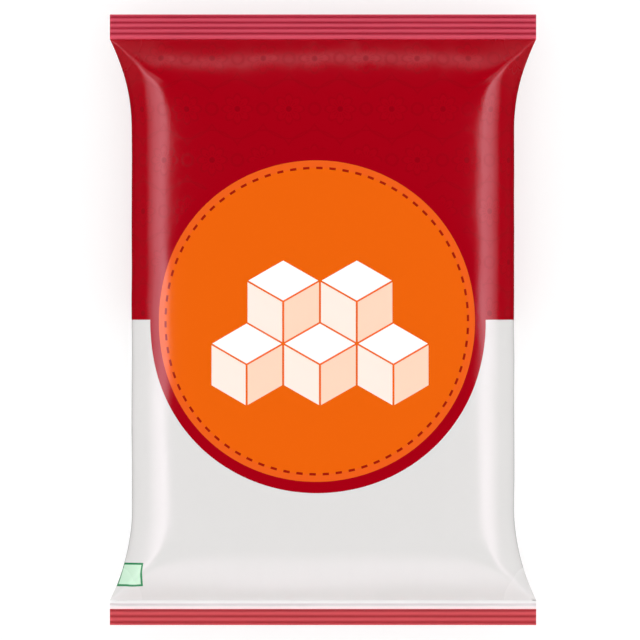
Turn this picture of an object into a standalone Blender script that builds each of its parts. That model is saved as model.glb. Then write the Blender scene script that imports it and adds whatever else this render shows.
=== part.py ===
"""A pillow pack of granulated sugar, lying on its back.

The pack is a tube of printed film, pressed flat and crimped shut at both ends, with
the sugar holding it apart in between. It is shut, so it is one closed body. It runs
along Y with its top end towards +Y, its printed front facing +Z, and its back
settled flat on Z = 0. The origin is under the middle of the pack.
"""

import math

import bmesh
import bpy

# Driving dimensions, in metres.
LENGTH = 0.2435  # over both end seals
FLAT_WIDTH = 0.170  # the film tube pressed flat, and so each end seal
BODY_WIDTH = 0.1525  # where the filling draws the sides in
SEAL_LEVEL = 0.020  # middle plane of the end seals above the resting face
CROWN = 0.027  # rise of the front above that plane
SAG = 0.0224  # depth of the back below that plane before it settles flat
FLARE_LENGTH = 0.036  # from an end seal to where the sides run straight
RISE_LENGTH = 0.051  # from an end seal to where the pack has its full depth
RISE_BEND = 2.05  # how early the film turns from that slope into the level front

TOP_CRIMP_PITCH = 0.0022  # from ridge to ridge across an end seal
BOTTOM_CRIMP_PITCH = 0.00236
CRIMP_DEPTH = 0.0005  # from ridge to groove
SEAL_HEIGHT = 0.0099
SEAL_THICKNESS = 0.0008

FIN_WIDTH = 0.011  # the seam along the back, folded flat against it
FIN_THICKNESS = 0.0005
FIN_STEP = 0.0006  # width of the step at each of the fin's edges

# Half of a section rises as (1 - across ** SHOULDER) ** EDGE: an ellipse in the body, and a
# wedge at each side by the seals, where the tube is pressed flat.
BODY_SHOULDER, SEAL_SHOULDER = 2.0, 5.9
BODY_EDGE, SEAL_EDGE = 0.5, 1.27
BACK_EDGE_SHARE = 0.84  # the back settles to a fuller curve than the front
WEDGE_LENGTH = 0.026  # from an end seal to where the wedge has become an ellipse
WEDGE_BEND = 1.8
CORNER_BLEND = 12.0  # how sharply the slope from a side meets the slope from an end

# How finely the surface is divided.
SECTION_STEPS = 20  # from the middle of the front or back round to a side
ROWS_PER_CRIMP = 4
END_ROWS = 22
MIDDLE_ROWS = 4

FILM_COLOR = (0.376, 0.0012, 0.007)  # deep red, linear
FILM_ROUGHNESS = 0.3


def remove_all_objects():
    """Start from an empty scene."""
    for ob in list(bpy.data.objects):
        bpy.data.objects.remove(ob, do_unlink=True)


def film_material():
    """Glossy printed plastic film."""
    material = bpy.data.materials.new("printed_film")
    material.use_nodes = True
    shader = material.node_tree.nodes["Principled BSDF"]
    shader.inputs["Base Color"].default_value = (*FILM_COLOR, 1.0)
    shader.inputs["Roughness"].default_value = FILM_ROUGHNESS
    shader.inputs["Metallic"].default_value = 0.0
    return material


def crimp_pitch(y):
    """The pitch of the crimps at the end of the pack that y is in."""
    return TOP_CRIMP_PITCH if y > 0 else BOTTOM_CRIMP_PITCH


def end_rows(pitch):
    """Distances of the sections from a free edge, over its seal and the slope beyond."""
    seal_rows = math.ceil(SEAL_HEIGHT / pitch * ROWS_PER_CRIMP - 0.01)
    crimps = [i * pitch / ROWS_PER_CRIMP for i in range(seal_rows)]
    # The film turns most sharply beside the seal, so the rows start close together.
    slope = [RISE_LENGTH * (i / END_ROWS) ** 1.3 for i in range(END_ROWS + 1)]
    return crimps + [SEAL_HEIGHT + d for d in slope]


def row_places():
    """Where the sections stand along Y, from the bottom end to the top end."""
    bottom_end = [d - LENGTH / 2 for d in end_rows(BOTTOM_CRIMP_PITCH)]
    top_end = [LENGTH / 2 - d for d in reversed(end_rows(TOP_CRIMP_PITCH))]
    step = (top_end[0] - bottom_end[-1]) / MIDDLE_ROWS
    middle = [bottom_end[-1] + step * i for i in range(1, MIDDLE_ROWS)]
    return bottom_end + middle + top_end


def side_angles(half_width):
    """Angles round a quarter of the section, 0 in the middle and 90 degrees at the side.

    The first three stand at the middle of the back's fin and either side of its step.
    """
    fin_edge = math.asin(FIN_WIDTH / 2 / half_width)
    fin_foot = math.asin((FIN_WIDTH / 2 + FIN_STEP) / half_width)
    steps = [fin_foot + (math.pi / 2 - fin_foot) * i / SECTION_STEPS for i in range(SECTION_STEPS + 1)]
    return [0.0, fin_edge] + steps


def settled(share, bend):
    """A curve from 0 at the seal to 1 further in, which it reaches level."""
    return 1.0 - (1.0 - min(max(share, 0.0), 1.0)) ** bend


def blended(side, end):
    """How full the pack is by its distance from a side and from an end: close to the less of them."""
    if side <= 0.0 or end <= 0.0:
        return 0.0
    return (side**-CORNER_BLEND + end**-CORNER_BLEND - 1.0) ** (-1.0 / CORNER_BLEND)


def section(y):
    """The pack's outline at y, as (x, z) along the front from -X to +X, and the back likewise."""
    inward = LENGTH / 2 - SEAL_HEIGHT - abs(y)
    drawn_in = settled(inward / FLARE_LENGTH, 2.0)
    filled = settled(inward / RISE_LENGTH, RISE_BEND)
    half_width = (FLAT_WIDTH - drawn_in * (FLAT_WIDTH - BODY_WIDTH)) / 2

    wedge = 1.0 - settled(inward / WEDGE_LENGTH, WEDGE_BEND)
    shoulder = BODY_SHOULDER + (SEAL_SHOULDER - BODY_SHOULDER) * wedge
    edge = BODY_EDGE + (SEAL_EDGE - BODY_EDGE) * wedge

    middle = SEAL_LEVEL
    if inward < 0.00001:
        middle += CRIMP_DEPTH / 2 * math.cos(2 * math.pi * (LENGTH / 2 - abs(y)) / crimp_pitch(y))

    quarter = side_angles(half_width)
    angles = [-a for a in reversed(quarter[1:])] + quarter
    front, back = [], []
    for angle in angles:
        across = math.sin(angle)
        x = half_width * across
        up = max(1.0 - abs(across) ** shoulder, 0.0)
        front.append((x, middle + SEAL_THICKNESS / 2 + CROWN * blended(up**edge, filled)))
        drop = SAG * blended(up ** (edge * BACK_EDGE_SHARE), filled)
        if abs(angle) <= quarter[1]:
            drop += FIN_THICKNESS
        back.append((x, max(middle - SEAL_THICKNESS / 2 - drop, 0.0)))
    return front, back


def corners(outline):
    """Which of an outline's points aren't on the straight line between their neighbours."""
    found = []
    for i, (x, z) in enumerate(outline):
        (x0, z0), (x1, z1) = outline[i - 1], outline[(i + 1) % len(outline)]
        if abs((x - x0) * (z1 - z) - (x1 - x) * (z - z0)) > 1e-12:
            found.append(i)
    return found


def ring_at(bm, y):
    """The section's points at y, by their number; across a flat seal only its corners."""
    front, back = section(y)
    outline = front + back[::-1]
    on_seal = LENGTH / 2 - abs(y) < SEAL_HEIGHT - 0.00001
    kept = corners(outline) if on_seal else range(len(outline))
    return {i: bm.verts.new((outline[i][0], y, outline[i][1])) for i in kept}


def add_faces(bm, near, far, count):
    """The band of faces between two sections that are next to each other."""
    shared = sorted(set(near) & set(far))
    for i, j in zip(shared, shared[1:] + [shared[0] + count]):
        there = [near[k % count] for k in range(i, j + 1) if k % count in near]
        back_again = [far[k % count] for k in range(j, i - 1, -1) if k % count in far]
        loop = there + back_again
        if len(loop) > 4:
            bm.faces.new(loop)
            continue
        a, b, c, d = loop
        # A quad that isn't flat is folded outwards, so that the corners' hips run smoothly.
        bulge = (a.co.z + c.co.z) - (b.co.z + d.co.z)
        on_front = j < count // 2
        if abs(bulge) < 1e-7:
            bm.faces.new((a, b, c, d))
        elif (bulge > 0) == on_front:
            bm.faces.new((a, b, c))
            bm.faces.new((a, c, d))
        else:
            bm.faces.new((a, b, d))
            bm.faces.new((b, c, d))


def build_pack(collection):
    """The filled pack: a loft through all its sections, closed across both free edges."""
    bm = bmesh.new()
    rings = [ring_at(bm, y) for y in row_places()]
    count = max(len(ring) for ring in rings)
    for near, far in zip(rings, rings[1:]):
        add_faces(bm, near, far, count)
    for ring in (rings[0], rings[-1]):
        bm.faces.new([ring[i] for i in sorted(ring)])
    bmesh.ops.recalc_face_normals(bm, faces=bm.faces)

    mesh = bpy.data.meshes.new("sugar_packet")
    bm.to_mesh(mesh)
    bm.free()
    mesh.materials.append(film_material())
    mesh.shade_smooth()
    mesh.set_sharp_from_angle(angle=math.radians(35))
    pack = bpy.data.objects.new("sugar_packet", mesh)
    collection.objects.link(pack)
    return pack


remove_all_objects()
parts = bpy.data.collections.new("sugar_packet_parts")
bpy.context.scene.collection.children.link(parts)
build_pack(parts)
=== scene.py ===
import math

import bpy
import numpy as np
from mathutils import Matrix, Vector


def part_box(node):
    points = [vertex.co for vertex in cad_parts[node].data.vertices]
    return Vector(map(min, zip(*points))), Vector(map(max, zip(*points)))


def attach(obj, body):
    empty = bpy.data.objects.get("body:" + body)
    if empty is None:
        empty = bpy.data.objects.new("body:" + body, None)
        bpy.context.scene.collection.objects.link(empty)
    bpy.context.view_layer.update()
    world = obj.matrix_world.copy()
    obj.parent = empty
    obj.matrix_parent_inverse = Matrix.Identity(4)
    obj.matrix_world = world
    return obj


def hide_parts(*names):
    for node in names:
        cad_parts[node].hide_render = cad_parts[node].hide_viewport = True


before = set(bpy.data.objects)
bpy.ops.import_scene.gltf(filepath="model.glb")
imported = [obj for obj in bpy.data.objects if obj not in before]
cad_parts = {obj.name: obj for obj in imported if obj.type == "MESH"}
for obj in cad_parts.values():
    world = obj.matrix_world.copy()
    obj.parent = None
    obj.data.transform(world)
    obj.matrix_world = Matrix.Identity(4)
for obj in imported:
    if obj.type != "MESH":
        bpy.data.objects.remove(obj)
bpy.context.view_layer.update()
bpy.ops.object.select_all(action="DESELECT")


# --- The filled pack -------------------------------------------------------------------
# One sheet of plastic film, printed flat, wrapped into a tube, filled with sugar and
# crimped shut across both ends between ribbed jaws. The film is a tenth of a millimetre
# thick, so the sugar behind it gives the body its shape and draws its sides in.

MM = 0.001
HAIR = 0.01 * MM  # places closer together than this count as one
low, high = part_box("sugar_packet")
LENGTH = high.y - low.y
FLAT_WIDTH = high.x - low.x  # the tube pressed flat
BODY_WIDTH = 152.5 * MM
SEAL_LEVEL = 20.0 * MM  # middle plane of the end seals above the floor
CROWN = high.z - SEAL_LEVEL  # rise of the front above that plane
SAG = 22.4 * MM  # depth of the back below it before it settles flat
FLARE_LENGTH = 36.0 * MM  # from an end seal to where the sides run straight
RISE_LENGTH = 51.0 * MM  # from an end seal to where the pack has its full depth
RISE_BEND = 2.05  # the higher a bend, the sooner its curve has risen
WEDGE_LENGTH = 26.0 * MM  # from an end seal to where the wedged sides have become round
WEDGE_BEND = 1.8
BODY_SHOULDER, SEAL_SHOULDER = 2.0, 5.9  # how flat the section is before it turns down
BODY_EDGE, SEAL_EDGE = 0.5, 1.27  # how it meets the side fold: round at 0.5, sharp past 1
BACK_EDGE_SHARE = 0.84
CORNER_BLEND = 12.0  # the higher, the crisper the ridge from a corner into the body

TOP_CRIMP_PITCH, BOTTOM_CRIMP_PITCH = 2.2 * MM, 2.36 * MM
CRIMP_DEPTH = 0.5 * MM
CRIMP_MEAN = 0.6  # taken off the crimps' wave, so that they stand out on both sides of the seal
SEAL_HEIGHT = 9.9 * MM
PRESS_SHARE, PRESS_WAVE = 0.15, 61.0 * MM  # the jaws press the crimps a little unevenly
SEAL_WARP, WARP_WAVE = 0.35 * MM, 118.0 * MM  # the thin seals wave out of their plane
WARP_REACH = 20.0 * MM
PRESS_STARTS, WARP_STARTS = (0.4, 2.9), (0.7, 2.4)  # of those waves at the top and bottom ends
FILM_THICKNESS = 0.12 * MM
SEAM_THICKNESS = 0.30 * MM  # the folded back seam, which the flat back rests on
SEAM_WIDTH = 11.0 * MM
FOLD_WIDTH = 1.0 * MM  # from a side fold to where the film's two layers lie apart

PUCKER_DEPTH = 0.22 * MM  # gathers where the round body is pressed into a flat seal
PUCKER_REACH = 6.0 * MM
PUCKER_SPACINGS = (9.0 * MM, 13.0 * MM, 21.0 * MM)
PUCKER_FOLD_FADE = 8.0 * MM
LUMP_HEIGHT = 0.025 * MM  # sugar that has settled unevenly
LUMP_SPACINGS = (24.0 * MM, 33.0 * MM, 47.0 * MM, 70.0 * MM)
LUMP_SEAL_FADE = 14.0 * MM
FLAT_RIM = 1.0 * MM  # height of the edge round the flat of the back
BACK_FADE = 6.0 * MM  # over which gathers start past the seam, and lumps above the flat

FILM_COLUMNS = 288  # round the tube: a multiple of 4, so that columns run along its folds
ROWS_PER_CRIMP = 10
END_ROWS, END_CROWDING = 46, 1.3  # rows on each slope, closer together towards the seal
MIDDLE_STEP = 2.0 * MM
PROFILE_POINTS = 900
SEED = 12
SMOOTH_ANGLE = math.radians(50)


def settled(share, bend):
    """A curve from 0 at the seal to 1 further in, which it reaches level."""
    return 1.0 - (1.0 - np.clip(share, 0.0, 1.0)) ** bend


def crimp_pitch(y):
    """The pitch of the crimps at the end of the pack that y is in."""
    return np.where(y > 0, TOP_CRIMP_PITCH, BOTTOM_CRIMP_PITCH)


def end_rows(pitch):
    """Distances of the film's rows from a free edge, close together at the crimps."""
    crimps = np.arange(0.0, SEAL_HEIGHT - HAIR, pitch / ROWS_PER_CRIMP)
    slope = RISE_LENGTH * (np.arange(END_ROWS + 1) / END_ROWS) ** END_CROWDING
    # One more row lies on the edge itself, where front and back meet.
    return np.concatenate([[0.0], crimps, SEAL_HEIGHT + slope])


def film_rows():
    """Places of the film's rows along its length, from its bottom edge to its top edge."""
    bottom = end_rows(BOTTOM_CRIMP_PITCH) - LENGTH / 2
    top = LENGTH / 2 - end_rows(TOP_CRIMP_PITCH)[::-1]
    steps = round((top[0] - bottom[-1]) / MIDDLE_STEP)
    return np.concatenate([bottom, np.linspace(bottom[-1], top[0], steps + 1)[1:-1], top])


def blended(side, end):
    """How full the pack is, by its fullness from a side and from an end: nearly the less of them."""
    side, end = np.maximum(side, 1e-9), max(end, 1e-9)
    return (side**-CORNER_BLEND + end**-CORNER_BLEND - 1.0) ** (-1.0 / CORNER_BLEND)


def half_section(half_width, depth, filled, shoulder, edge):
    """Across and up along half of the front or back, middle to side, at equal lengths of film."""
    share = np.sin(np.linspace(0.0, math.pi / 2, PROFILE_POINTS))
    across = half_width * share
    up = depth * blended((1.0 - share**shoulder) ** edge, filled)
    run = np.concatenate([[0.0], np.cumsum(np.hypot(np.diff(across), np.diff(up)))])
    even = np.linspace(0.0, run[-1], FILM_COLUMNS // 4 + 1)
    return np.interp(even, run, across), np.interp(even, run, up)


def section(y):
    """x and z of one row of the film, from the seam to the left, over the front and back to the seam."""
    inward = LENGTH / 2 - SEAL_HEIGHT - abs(y)
    drawn_in = settled(inward / FLARE_LENGTH, 2.0)
    filled = settled(inward / RISE_LENGTH, RISE_BEND)
    wedge = 1.0 - settled(inward / WEDGE_LENGTH, WEDGE_BEND)
    half_width = (FLAT_WIDTH - drawn_in * (FLAT_WIDTH - BODY_WIDTH)) / 2
    shoulder = BODY_SHOULDER + (SEAL_SHOULDER - BODY_SHOULDER) * wedge
    edge = BODY_EDGE + (SEAL_EDGE - BODY_EDGE) * wedge
    front_x, front_z = half_section(half_width, CROWN, filled, shoulder, edge)
    back_x, back_z = half_section(half_width, SAG, filled, shoulder, edge * BACK_EDGE_SHARE)
    x = np.concatenate([-back_x, -front_x[-2::-1], front_x[1:], back_x[-2::-1]])
    z = np.concatenate([-back_z, front_z[-2::-1], front_z[1:], -back_z[-2::-1]])
    return x, z


rows = film_rows()
sections = [section(y) for y in rows]
x = np.array([s[0] for s in sections])
z = np.array([s[1] for s in sections])
y = np.repeat(rows[:, None], FILM_COLUMNS + 1, axis=1)
girth = np.linspace(-FLAT_WIDTH, FLAT_WIDTH, FILM_COLUMNS + 1)[None, :]  # 0 in the middle of the front
front = np.abs(girth) <= FLAT_WIDTH / 2
from_fold = np.abs(np.abs(girth) - FLAT_WIDTH / 2)
from_seam = FLAT_WIDTH - np.abs(girth)
inward = LENGTH / 2 - SEAL_HEIGHT - np.abs(y)

# The back settles flat on its seam, with a soft edge round the flat.
SOFTNESS = 0.4 * MM
CLEAR = 12  # in steps of SOFTNESS above the flat: higher up, it changes nothing
spare = (SEAL_LEVEL + z - SEAM_THICKNESS) / SOFTNESS
settled_z = SEAM_THICKNESS + SOFTNESS * np.logaddexp(0.0, spare) - SEAL_LEVEL
z = np.where(spare < CLEAR, settled_z, z)

# Ribbed jaws leave broad ridges and narrow grooves, the same through both layers.
ridge = np.abs(np.cos(math.pi * (LENGTH / 2 - np.abs(y)) / crimp_pitch(y)))
pressed = 1.0 + PRESS_SHARE * np.sin(2 * math.pi * x / PRESS_WAVE + np.where(y > 0, *PRESS_STARTS))
crimp = np.where(inward < HAIR, CRIMP_DEPTH * (ridge - CRIMP_MEAN) * pressed, 0.0)
warp = SEAL_WARP * np.sin(2 * math.pi * x / WARP_WAVE + np.where(y > 0, *WARP_STARTS))
warp *= np.clip(1 - inward / WARP_REACH, 0.0, 1.0) ** 2
apart = np.clip(from_fold / FOLD_WIDTH, 0.0, 1.0) * FILM_THICKNESS
apart[[0, -1]] = 0.0
z = SEAL_LEVEL + z + crimp + warp + np.where(front, 1.0, -1.0) * apart
z = np.maximum(z, SEAM_THICKNESS)

# Gathers by the seals and lumps in the body, both square to the film. The seam is too
# stiff to gather, and the flat of the back has no lumps.
chance = np.random.default_rng(SEED)
formed = np.stack([x, y, z], axis=2)
outward = np.cross(np.gradient(formed, axis=1), np.gradient(formed, axis=0))
outward /= np.maximum(np.linalg.norm(outward, axis=2, keepdims=True), 1e-12)
pucker = np.zeros_like(y)
for end in (y > 0, y <= 0):
    for side in (front, ~front):
        for spacing in PUCKER_SPACINGS:
            wave = np.sin(2 * math.pi * girth / spacing + chance.uniform(0, 2 * math.pi))
            pucker += np.where(end & side, wave / len(PUCKER_SPACINGS), 0.0)
reach = np.clip(inward, 0.0, None) / PUCKER_REACH
pucker *= PUCKER_DEPTH * reach * np.exp(1 - reach) * np.clip(from_fold / PUCKER_FOLD_FADE, 0.0, 1.0)
lump = np.zeros_like(y)
for spacing in LUMP_SPACINGS:
    for heading in chance.uniform(0, math.pi, 3):
        along = girth * math.cos(heading) + y * math.sin(heading)
        lump += np.sin(2 * math.pi * along / spacing + chance.uniform(0, 2 * math.pi)) * LUMP_HEIGHT
lump *= np.clip(inward / LUMP_SEAL_FADE, 0.0, 1.0) * np.clip((z - FLAT_RIM) / BACK_FADE, 0.0, 1.0)
free_of_seam = np.clip((from_seam - SEAM_WIDTH) / BACK_FADE, 0.0, 1.0)
formed += outward * ((pucker + lump) * free_of_seam)[:, :, None]
formed[:, -1] = formed[:, 0]

bpy.ops.mesh.primitive_grid_add(x_subdivisions=FILM_COLUMNS, y_subdivisions=len(rows) - 1, size=1)
film = bpy.context.object
film.name = film.data.name = "film_pack"
mesh = film.data
place = np.empty(len(mesh.vertices) * 3)
mesh.vertices.foreach_get("co", place)
place = place.reshape(-1, 3)
column = np.rint((place[:, 0] + 0.5) * FILM_COLUMNS).astype(int)
row = np.rint((place[:, 1] + 0.5) * (len(rows) - 1)).astype(int)
mesh.vertices.foreach_set("co", formed[row, column].ravel())

# The film's own flat map: its width round the pack and its length along it, each 0 to 1.
sheet = np.stack([column / FILM_COLUMNS, (rows[row] + LENGTH / 2) / LENGTH], axis=1)
corner = np.empty(len(mesh.loops), int)
mesh.loops.foreach_get("vertex_index", corner)
mesh.uv_layers[0].name = "OFBake"
mesh.uv_layers[0].uv.foreach_set("vector", sheet[corner].ravel())
mesh.update()

bpy.ops.object.mode_set(mode="EDIT")
bpy.ops.mesh.select_all(action="SELECT")
bpy.ops.mesh.remove_doubles(threshold=HAIR)
bpy.ops.mesh.normals_make_consistent(inside=False)
bpy.ops.object.mode_set(mode="OBJECT")
bpy.ops.object.shade_smooth_by_angle(angle=SMOOTH_ANGLE)
bpy.ops.object.select_all(action="DESELECT")


def linear(hex_colour):
    """An sRGB hex colour as linear red, green, blue and full alpha."""
    levels = [int(hex_colour[i : i + 2], 16) / 255 for i in (1, 3, 5)]
    return (*[c / 12.92 if c <= 0.04045 else ((c + 0.055) / 1.055) ** 2.4 for c in levels], 1.0)


def add(tree, kind, *inputs, **settings):
    """Adds a node with its settings, fills or links its inputs in order, and returns its first output."""
    made = tree.nodes.new("ShaderNode" + kind)
    for name, value in settings.items():
        setattr(made, name, value)
    for socket, value in zip([s for s in made.inputs if s.enabled], inputs):
        if isinstance(value, bpy.types.NodeSocket):
            tree.links.new(value, socket)
        elif value is not None:
            socket.default_value = value
    return [s for s in made.outputs if s.enabled][0]


# Laminated polypropylene film, printed inside by gravure: flat even inks seen through a
# glossy skin. Millimetres on the flat sheet, from the middle of the front.
RED, PALE, ORANGE, RIM = "#A50114", "#E1DFDE", "#EE640D", "#EE601C"
STITCH, CUBE_TOP, CUBE_LEFT, CUBE_RIGHT = "#A0190A", "#FFFFFF", "#FFEFE4", "#FFD9C0"
MARK, MARK_FRAME = "#CFEFD6", "#2E8B57"
DISC_MIDDLE, DISC_RADIUS = (-2.75, -0.55), 63.85
BACKING_MIDDLE, BACKING_RADIUS = (-2.4, -0.6), 68.3  # another plate, a little out of register
STITCH_RADIUS, STITCHES, STITCH_LENGTH, STITCH_WIDTH = 60.85, 74, 2.5, 0.95
CUBE_EDGE, CUBE_GAP = 16.7, 0.8
CUBES_MIDDLE = (-1.2, -5.3)
FOOT_BAND, FOOT_BLEED = 6.4, 1.0  # red at the bottom end, and how far it stains the pale film
MARK_MIDDLE, MARK_SIZE, MARK_LINE = (-78.1, -101.5), (13.2, 9.4), 0.8
TONE_DOT, TONE_LINE, TONE_PETAL = "#930011", "#9D0112", "#A80215"
REPEAT, ROSETTE_AT = 20.3, (6.8, 83.8)  # a small rosette, printed in half-drop repeat
PETALS, PETAL_FOOT, PETAL_LENGTH, OUTLINE = 8, 4.0, 2.0, 0.45
DOT_RADIUS, RAYS, RAY_SHARE = 1.15, 16, 0.3
FAN_RADIUS, FAN_HALF = 2.6, 0.8
RING_RADIUS, RING_HALF = 2.3, 0.5
ARCH_RADIUS, ARCH_HALF = 11.8, 0.3
GRAIN_SIZE, GRAIN_FADE = 1.3, 12.0
GRAIN_DEPTH = 0.008 * MM
GLOSS, FIELD_GLOSS, LINE_GLOSS = 0.12, 0.15, 0.22  # roughness, bare and over the two varnishes
CORNER_GLOSS, SEAL_GLOSS = 0.32, 0.34
CREASE_NEAR, CREASE_FAR = 8.0, 26.0  # dull up to the one, glossy past the other
FILM_SPECULAR, FILM_IOR = 0.3, 1.5

# Painted light: a seal is paler than the body as a painted sheen, lighter on its ridges as painted highlights
# and darker in its grooves as painted shade.
TOP_SHADED_GROOVE, TOP_LIT_RIDGE, TOP_LIT_LAST_RIDGE = "#A92439", "#D55165", "#E6586E"
FOOT_SHADED_GROOVE, FOOT_LIT_RIDGE = "#AE333A", "#D6565D"
PALE_SHADED_GROOVE, PALE_LIT_RIDGE, PALE_BLEED = "#E7DDDF", "#F4F2F2", "#FFECED"
TOP_CRIMPS = 4  # whole crimps of the top seal, before its last ridge
GROOVE_TOP = 0.2  # of the crimps' wave, up to which it has a groove's painted shade


def seal_inks_and_painted_light(tree, v):
    """Distance from the free edge, the end seals, and the layers of colour over them: print, and on the seals
    a painted sheen, painted highlights on the ridges and painted shade in the grooves.

    v is in millimetres up from the middle of the pack.
    """
    upper = add(tree, "Math", v, 0.0, operation="GREATER_THAN")
    pitch = add(tree, "Mix", upper, BOTTOM_CRIMP_PITCH / MM, TOP_CRIMP_PITCH / MM, data_type="FLOAT")
    middle_out = add(tree, "Math", v, operation="ABSOLUTE")
    from_edge = add(tree, "Math", LENGTH / MM / 2, middle_out, operation="SUBTRACT")
    crimped = add(tree, "Math", from_edge, SEAL_HEIGHT / MM, operation="LESS_THAN")
    wave = add(tree, "Math", from_edge, pitch, operation="DIVIDE")
    wave = add(tree, "Math", wave, math.pi, operation="MULTIPLY")
    wave = add(tree, "Math", add(tree, "Math", wave, operation="COSINE"), operation="ABSOLUTE")
    last_ridge = add(tree, "Math", from_edge, TOP_CRIMPS * TOP_CRIMP_PITCH / MM, operation="GREATER_THAN")
    wave = add(tree, "Math", wave, last_ridge, operation="MAXIMUM")
    # Painted light: the mix runs from a groove's painted shade to a ridge's painted highlight, over a pale
    # painted sheen on the whole seal.
    ridge_highlight = add(tree, "MapRange", wave, GROOVE_TOP, 1.0, 0.0, 1.0)
    pale = add(tree, "Mix", ridge_highlight, linear(PALE_SHADED_GROOVE), linear(PALE_LIT_RIDGE), data_type="RGBA")
    top = add(tree, "Mix", ridge_highlight, linear(TOP_SHADED_GROOVE), linear(TOP_LIT_RIDGE), data_type="RGBA")
    top = add(tree, "Mix", last_ridge, top, linear(TOP_LIT_LAST_RIDGE), data_type="RGBA")
    red_foot_with_painted_light = add(tree, "Mix", ridge_highlight, linear(FOOT_SHADED_GROOVE), linear(FOOT_LIT_RIDGE), data_type="RGBA")
    foot_edge = FOOT_BAND - LENGTH / MM / 2
    return from_edge, crimped, [
        (pale, crimped),
        (top, add(tree, "Math", crimped, upper, operation="MULTIPLY")),
        (linear(PALE_BLEED), add(tree, "Math", v, foot_edge + FOOT_BLEED, operation="LESS_THAN")),
        (red_foot_with_painted_light, add(tree, "Math", v, foot_edge, operation="LESS_THAN")),
    ]


printed = bpy.data.materials.new("gravure_printed_film")
printed.use_nodes = True
tree = printed.node_tree
shader = tree.nodes["Principled BSDF"]
sheet_place = add(tree, "UVMap", uv_map="OFBake")
size_mm = (2 * FLAT_WIDTH / MM, LENGTH / MM, 0.0)
spot = add(tree, "VectorMath", sheet_place, size_mm, [-s / 2 for s in size_mm], operation="MULTIPLY_ADD")
v = add(tree, "SeparateXYZ", spot).node.outputs[1]

from_disc = add(tree, "VectorMath", spot, (*DISC_MIDDLE, 0.0), operation="SUBTRACT")
disc_radius = add(tree, "VectorMath", from_disc, operation="LENGTH").node.outputs["Value"]
from_backing = add(tree, "VectorMath", spot, (*BACKING_MIDDLE, 0.0), operation="SUBTRACT")
backing_radius = add(tree, "VectorMath", from_backing, operation="LENGTH").node.outputs["Value"]
disc_parts = add(tree, "SeparateXYZ", from_disc).node
turn = add(tree, "Math", disc_parts.outputs[1], disc_parts.outputs[0], operation="ARCTAN2")
stitch_turn = add(tree, "Math", turn, STITCHES / (2 * math.pi), operation="MULTIPLY")
stitch_turn = add(tree, "Math", stitch_turn, 1.0, 0.0, operation="WRAP")
stitch_share = STITCH_LENGTH * STITCHES / (2 * math.pi * STITCH_RADIUS)
on_dash = add(tree, "Math", stitch_turn, stitch_share, operation="LESS_THAN")
on_ring = add(tree, "Math", disc_radius, STITCH_RADIUS, STITCH_WIDTH / 2, operation="COMPARE")

upper = add(tree, "Math", v, 0.0, operation="GREATER_THAN")
from_edge, crimped, seal_layers = seal_inks_and_painted_light(tree, v)

# The rosettes: a dot in a fan of short rays and a ring of eight petals. Small rings lie
# between them, and rows of arches join them up.
motifs = {"dot": [], "line": [], "petal": []}
for shift, is_rosette in (
    ((0.0, 0.0), True),
    ((REPEAT / 2, REPEAT), True),
    ((REPEAT / 2, 0.0), False),
    ((0.0, REPEAT), False),
):
    at = (ROSETTE_AT[0] + shift[0], ROSETTE_AT[1] + shift[1], 0.0)
    local = add(tree, "VectorMath", spot, at, operation="SUBTRACT")
    far = (REPEAT / 2, REPEAT, 1.0)
    local = add(tree, "VectorMath", local, far, (-REPEAT / 2, -REPEAT, 0.0), operation="WRAP")
    radius = add(tree, "VectorMath", local, operation="LENGTH").node.outputs["Value"]
    if not is_rosette:
        motifs["line"].append(add(tree, "Math", radius, RING_RADIUS, RING_HALF, operation="COMPARE"))
        continue
    local = add(tree, "SeparateXYZ", local).node
    turn = add(tree, "Math", local.outputs[1], local.outputs[0], operation="ARCTAN2")
    lobes = add(tree, "Math", turn, PETALS / 2, operation="MULTIPLY")
    lobes = add(tree, "Math", add(tree, "Math", lobes, operation="COSINE"), operation="ABSOLUTE")
    tip = add(tree, "Math", lobes, PETAL_LENGTH, PETAL_FOOT, operation="MULTIPLY_ADD")
    rays = add(tree, "Math", add(tree, "Math", turn, RAYS, operation="MULTIPLY"), operation="COSINE")
    rays = add(tree, "Math", rays, RAY_SHARE, operation="GREATER_THAN")
    fan = add(tree, "Math", radius, FAN_RADIUS, FAN_HALF, operation="COMPARE")
    motifs["dot"].append(add(tree, "Math", radius, DOT_RADIUS, operation="LESS_THAN"))
    motifs["line"].append(add(tree, "Math", radius, ARCH_RADIUS, ARCH_HALF, operation="COMPARE"))
    motifs["line"].append(add(tree, "Math", radius, tip, OUTLINE, operation="COMPARE"))
    motifs["line"].append(add(tree, "Math", rays, fan, operation="MULTIPLY"))
    motifs["petal"].append(add(tree, "Math", radius, tip, operation="LESS_THAN"))
tone = {}
for name, masks in motifs.items():
    tone[name] = masks[0]
    for mask in masks[1:]:
        tone[name] = add(tree, "Math", tone[name], mask, operation="MAXIMUM")

from_mark = add(tree, "VectorMath", spot, (*MARK_MIDDLE, 0.0), operation="SUBTRACT")
from_mark = add(tree, "VectorMath", from_mark, operation="ABSOLUTE")
half_mark = (MARK_SIZE[0] / 2, MARK_SIZE[1] / 2, 0.0)
past_mark = add(tree, "SeparateXYZ", add(tree, "VectorMath", from_mark, half_mark, operation="SUBTRACT")).node
past_mark = add(tree, "Math", past_mark.outputs[0], past_mark.outputs[1], operation="MAXIMUM")

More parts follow.
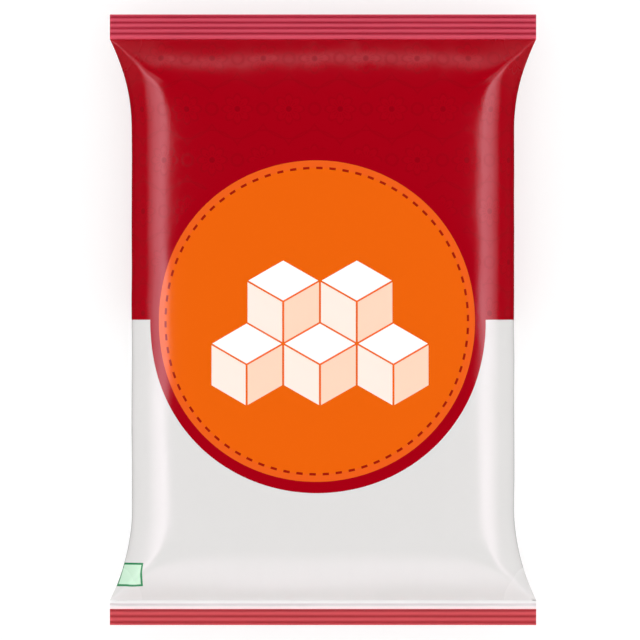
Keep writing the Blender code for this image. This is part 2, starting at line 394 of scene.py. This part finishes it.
toned_red = add(tree, "Mix", tone["petal"], linear(RED), linear(TONE_PETAL), data_type="RGBA")
toned_red = add(tree, "Mix", tone["line"], toned_red, linear(TONE_LINE), data_type="RGBA")
toned_red = add(tree, "Mix", tone["dot"], toned_red, linear(TONE_DOT), data_type="RGBA")
layers = [
    (toned_red, upper),
    (linear(MARK_FRAME), add(tree, "Math", past_mark, 0.0, operation="LESS_THAN")),
    (linear(MARK), add(tree, "Math", past_mark, -MARK_LINE, operation="LESS_THAN")),
    # The seals' colours: painted sheen, painted highlights on the ridges, painted shade in the grooves.
    *seal_layers,
    (linear(RED), add(tree, "Math", backing_radius, BACKING_RADIUS, operation="LESS_THAN")),
    (linear(RIM), add(tree, "Math", disc_radius, DISC_RADIUS, operation="LESS_THAN")),
    (linear(ORANGE), add(tree, "Math", disc_radius, STITCH_RADIUS, operation="LESS_THAN")),
    (linear(STITCH), add(tree, "Math", on_dash, on_ring, operation="MULTIPLY")),
]

# A plain stack of five sugar cubes: three below, two above, each drawn as a top and two
# sides. Each of those faces lies between two pairs of parallel edges.
HALF, SLOPE = math.sqrt(3) / 2, 1 / math.sqrt(3)
gap = CUBE_GAP / CUBE_EDGE / 2
for across, up in ((-2, -0.75), (0, -0.75), (2, -0.75), (-1, 0.75), (1, 0.75)):
    middle = (CUBES_MIDDLE[0] + across * HALF * CUBE_EDGE, CUBES_MIDDLE[1] + up * CUBE_EDGE, 0.0)
    local = add(tree, "VectorMath", spot, middle, operation="SUBTRACT")
    local = add(tree, "VectorMath", local, (1 / CUBE_EDGE,) * 3, operation="MULTIPLY")
    local = add(tree, "SeparateXYZ", local).node
    right, rise = local.outputs[0], local.outputs[1]
    falling = add(tree, "Math", right, SLOPE, rise, operation="MULTIPLY_ADD")
    climbing = add(tree, "Math", right, -SLOPE, rise, operation="MULTIPLY_ADD")
    for ink, first, at_first, half_first, second, at_second in (
        (CUBE_TOP, falling, 0.5, 0.5, climbing, 0.5),
        (CUBE_LEFT, right, -HALF / 2, HALF / 2, falling, -0.5),
        (CUBE_RIGHT, right, HALF / 2, HALF / 2, climbing, -0.5),
    ):
        inside_first = add(tree, "Math", first, at_first, half_first - gap, operation="COMPARE")
        inside_second = add(tree, "Math", second, at_second, 0.5 - gap, operation="COMPARE")
        layers.append((linear(ink), add(tree, "Math", inside_first, inside_second, operation="MULTIPLY")))

colour = linear(PALE)
for ink, where in layers:
    colour = add(tree, "Mix", where, colour, ink, data_type="RGBA")
tree.links.new(colour, shader.inputs["Base Color"])

# The petals and the disc are bare. A thin varnish lies on the rest, and a duller one on the
# rosettes' lines, so they show most in the highlights. The film is scuffed matt in the
# seals, and dulled where it is creased at the corners of the filled part.
outside_disc = add(tree, "Math", backing_radius, BACKING_RADIUS, operation="GREATER_THAN")
roughness = add(tree, "Mix", tone["petal"], FIELD_GLOSS, GLOSS, data_type="FLOAT")
toned = add(tree, "Math", tone["line"], tone["dot"], operation="MAXIMUM")
roughness = add(tree, "Mix", toned, roughness, LINE_GLOSS, data_type="FLOAT")
roughness = add(tree, "Mix", upper, FIELD_GLOSS, roughness, data_type="FLOAT")
roughness = add(tree, "Mix", outside_disc, GLOSS, roughness, data_type="FLOAT")
filled_corner = (FLAT_WIDTH / MM / 2, (LENGTH / 2 - SEAL_HEIGHT) / MM, 0.0)
from_corner = add(tree, "VectorMath", spot, operation="ABSOLUTE")
from_corner = add(tree, "VectorMath", from_corner, filled_corner, operation="SUBTRACT")
from_corner = add(tree, "VectorMath", from_corner, operation="LENGTH").node.outputs["Value"]
creased = add(tree, "MapRange", from_corner, CREASE_NEAR, CREASE_FAR, 1.0, 0.0)
roughness = add(tree, "Mix", creased, roughness, CORNER_GLOSS, data_type="FLOAT")
roughness = add(tree, "Mix", crimped, roughness, SEAL_GLOSS, data_type="FLOAT")
tree.links.new(roughness, shader.inputs["Roughness"])

# Sugar grains press into the film from behind. They are 0.6 to 0.9 mm across, drawn here at
# 1.3 mm so that they show.
grains = add(tree, "TexNoise", spot, None, 1 / GRAIN_SIZE, 1.0)
in_body = add(tree, "MapRange", from_edge, SEAL_HEIGHT / MM, SEAL_HEIGHT / MM + GRAIN_FADE, 0.0, 1.0)
grains = add(tree, "Bump", in_body, GRAIN_DEPTH, None, grains)
tree.links.new(grains, shader.inputs["Normal"])
shader.inputs["Specular IOR Level"].default_value = FILM_SPECULAR
shader.inputs["IOR"].default_value = FILM_IOR
film.data.materials.append(printed)
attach(film, "root")
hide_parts("sugar_packet")


# --- The back seam ---------------------------------------------------------------------
# The two edges of the film, heat-sealed face to face between ribbed wheels and folded
# flat against the middle of the back, where the end seals hold it down.

SEAM_GAP = 0.06 * MM
SEAM_LENGTH = LENGTH - 0.2 * MM  # just short of the film's edges
SEAM_START = -10.0 * MM  # below the pack, from where it is pressed up against the back
SEAM_COLUMNS = 8
SEAM_RIB, SEAM_RIB_HEIGHT = 1.5 * MM, 0.04 * MM
ROWS_PER_RIB = 6
SCUFF_SIZE, SCUFF_GLOSS = 3.0 * MM, (0.24, 0.36)
seam_rows = round(SEAM_LENGTH / SEAM_RIB * ROWS_PER_RIB)

bpy.ops.mesh.primitive_grid_add(x_subdivisions=SEAM_COLUMNS, y_subdivisions=seam_rows, size=1)
seam = bpy.context.object
seam.name = seam.data.name = "back_seam"
for vertex in seam.data.vertices:
    vertex.co.x *= SEAM_WIDTH
    vertex.co.y *= SEAM_LENGTH
    vertex.co.z = SEAM_START
onto_film = seam.modifiers.new("onto_film", "SHRINKWRAP")
onto_film.target = film
onto_film.wrap_method = "PROJECT"
onto_film.use_project_z = True
bpy.ops.object.modifier_apply(modifier="onto_film")
for vertex in seam.data.vertices:
    rib = math.sin(2 * math.pi * vertex.co.y / SEAM_RIB)
    vertex.co.z += SEAM_RIB_HEIGHT * rib - SEAM_GAP
bpy.ops.object.mode_set(mode="EDIT")
bpy.ops.mesh.select_all(action="SELECT")
bpy.ops.mesh.normals_make_consistent(inside=False)
bpy.ops.object.mode_set(mode="OBJECT")
if seam.data.polygons[0].normal.z > 0:
    seam.data.flip_normals()
layers_of_film = seam.modifiers.new("layers_of_film", "SOLIDIFY")
layers_of_film.thickness = SEAM_THICKNESS - 2 * SEAM_GAP
layers_of_film.offset = 1.0
bpy.ops.object.modifier_apply(modifier="layers_of_film")
bpy.ops.object.shade_smooth_by_angle(angle=SMOOTH_ANGLE)

# The same printed film in three layers, scuffed by the wheels so that it is a little less glossy.
ribbed = bpy.data.materials.new("heat_sealed_film")
ribbed.use_nodes = True
tree = ribbed.node_tree
shader = tree.nodes["Principled BSDF"]
place = add(tree, "TexCoord").node.outputs["Object"]
along = add(tree, "SeparateXYZ", place).node.outputs[1]
v = add(tree, "Math", along, 1 / MM, operation="MULTIPLY")
# Its ends take the seals' colours: painted sheen, painted highlights on the ridges and painted shade in the
# grooves.
*_, seal_layers = seal_inks_and_painted_light(tree, v)
upper = add(tree, "Math", v, 0.0, operation="GREATER_THAN")
colour = linear(PALE)
for ink, where in [(linear(RED), upper), *seal_layers]:
    colour = add(tree, "Mix", where, colour, ink, data_type="RGBA")
tree.links.new(colour, shader.inputs["Base Color"])
scuffs = add(tree, "TexNoise", place, None, 1 / SCUFF_SIZE, 4.0)
scuffs = add(tree, "MapRange", scuffs, 0.35, 0.65, *SCUFF_GLOSS)
tree.links.new(scuffs, shader.inputs["Roughness"])
shader.inputs["Specular IOR Level"].default_value = FILM_SPECULAR
shader.inputs["IOR"].default_value = FILM_IOR
seam.data.materials.clear()
seam.data.materials.append(ribbed)
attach(seam, "root")


# --- Studio ----------------------------------------------------------------------------
# A table of white acrylic, lit from below so that the pack throws hardly any shadow, in a
# tent of even white light. Long softboxes, low on each side, give the bright bands down the
# film. Weaker ones stand at both ends and at the corners.

FLOOR_SIZE, FLOOR_GLOW = 6.0, 0.6
SOFTBOX_TINT = (1.0, 0.83, 0.93)
WORLD_GLOW = 0.05

bpy.ops.mesh.primitive_plane_add(size=FLOOR_SIZE)
floor = bpy.context.object
floor.name = floor.data.name = "floor"
floor.visible_glossy = False
acrylic = bpy.data.materials.new("backlit_white_acrylic")
acrylic.use_nodes = True
shader = acrylic.node_tree.nodes["Principled BSDF"]
shader.inputs["Base Color"].default_value = linear("#B4B4B4")
shader.inputs["Emission Color"].default_value = linear("#FFFFFF")
shader.inputs["Emission Strength"].default_value = FLOOR_GLOW
shader.inputs["Roughness"].default_value = 0.9
shader.inputs["Specular IOR Level"].default_value = 0.1
floor.data.materials.append(acrylic)


def softbox(name, turn, lowest, highest, width, radiance):
    """An upright light a metre away, that spans two heights in degrees seen from the pack."""
    foot, top = math.tan(math.radians(lowest)), math.tan(math.radians(highest))
    light = bpy.data.lights.new(name, "AREA")
    light.shape = "RECTANGLE"
    light.color = SOFTBOX_TINT
    light.size, light.size_y = width, top - foot
    light.energy = radiance * math.pi * light.size * light.size_y
    box = bpy.data.objects.new(name, light)
    bpy.context.scene.collection.objects.link(box)
    turn = math.radians(turn)
    box.location = (math.cos(turn), math.sin(turn), SEAL_LEVEL + (foot + top) / 2)
    box.rotation_euler = (math.pi / 2, 0.0, turn + math.pi / 2)
    box.visible_camera = False
    box.visible_diffuse = False


# Each side's light fades towards its foot. The right one stands a little lower.
for side, turn, lift in (("right", 0, -0.9), ("left", 180, 0.0)):
    for part, lowest, highest, radiance in (
        ("", 27, 35.5, 6.8),
        ("_skirt", 20, 27, 4.8),
        ("_hem", 13, 20, 2.0),
    ):
        softbox(side + "_softbox" + part, turn, lift + lowest, lift + highest, 1.1, radiance)
softbox("top_softbox", 90, lowest=1.5, highest=7, width=1.5, radiance=1.7)
softbox("bottom_softbox", 270, lowest=1, highest=17, width=1.5, radiance=2.6)
for turn in (40, 140, 220, 320):
    softbox("corner_softbox_%d" % turn, turn, lowest=14, highest=40, width=0.7, radiance=2.0)

TENT_WIDTH, TENT_HEIGHT = 4.0, 2.0
for name, middle, turned in (
    ("tent_roof", (0.0, 0.0, TENT_HEIGHT), (0.0, 0.0, 0.0)),
    ("tent_right", (TENT_WIDTH / 2, 0.0, TENT_HEIGHT / 2), (math.pi / 2, 0.0, math.pi / 2)),
    ("tent_top_end", (0.0, TENT_WIDTH / 2, TENT_HEIGHT / 2), (math.pi / 2, 0.0, math.pi)),
    ("tent_left", (-TENT_WIDTH / 2, 0.0, TENT_HEIGHT / 2), (math.pi / 2, 0.0, -math.pi / 2)),
    ("tent_bottom_end", (0.0, -TENT_WIDTH / 2, TENT_HEIGHT / 2), (math.pi / 2, 0.0, 0.0)),
):
    light = bpy.data.lights.new(name, "AREA")
    light.shape = "RECTANGLE"
    light.size = TENT_WIDTH
    light.size_y = TENT_WIDTH if name == "tent_roof" else TENT_HEIGHT
    light.energy = math.pi * light.size * light.size_y
    light.cycles.use_multiple_importance_sampling = False
    panel = bpy.data.objects.new(name, light)
    bpy.context.scene.collection.objects.link(panel)
    panel.location = middle
    panel.rotation_euler = turned
    panel.visible_camera = False
    panel.visible_glossy = False

world = bpy.context.scene.world or bpy.data.worlds.new("studio")
bpy.context.scene.world = world
world.use_nodes = True
world.node_tree.nodes["Background"].inputs["Color"].default_value = linear("#FFFFFF")
world.node_tree.nodes["Background"].inputs["Strength"].default_value = WORLD_GLOW
world.cycles_visibility.glossy = False
bpy.context.scene.view_settings.view_transform = "Standard"


# --- Camera ----------------------------------------------------------------------------
# Straight above the pack with its top end up, through a very long lens.

LENS, SENSOR = 1000.0, 36.0
VIEW_WIDTH = 255.2 * MM
VIEW_MIDDLE = (-1.2 * MM, -0.1 * MM)
camera_data = bpy.data.cameras.new("camera")
camera_data.lens, camera_data.sensor_width = LENS, SENSOR
camera = bpy.data.objects.new("camera", camera_data)
bpy.context.scene.collection.objects.link(camera)
camera.location = (*VIEW_MIDDLE, SEAL_LEVEL + VIEW_WIDTH * LENS / SENSOR)
bpy.context.scene.camera = camera
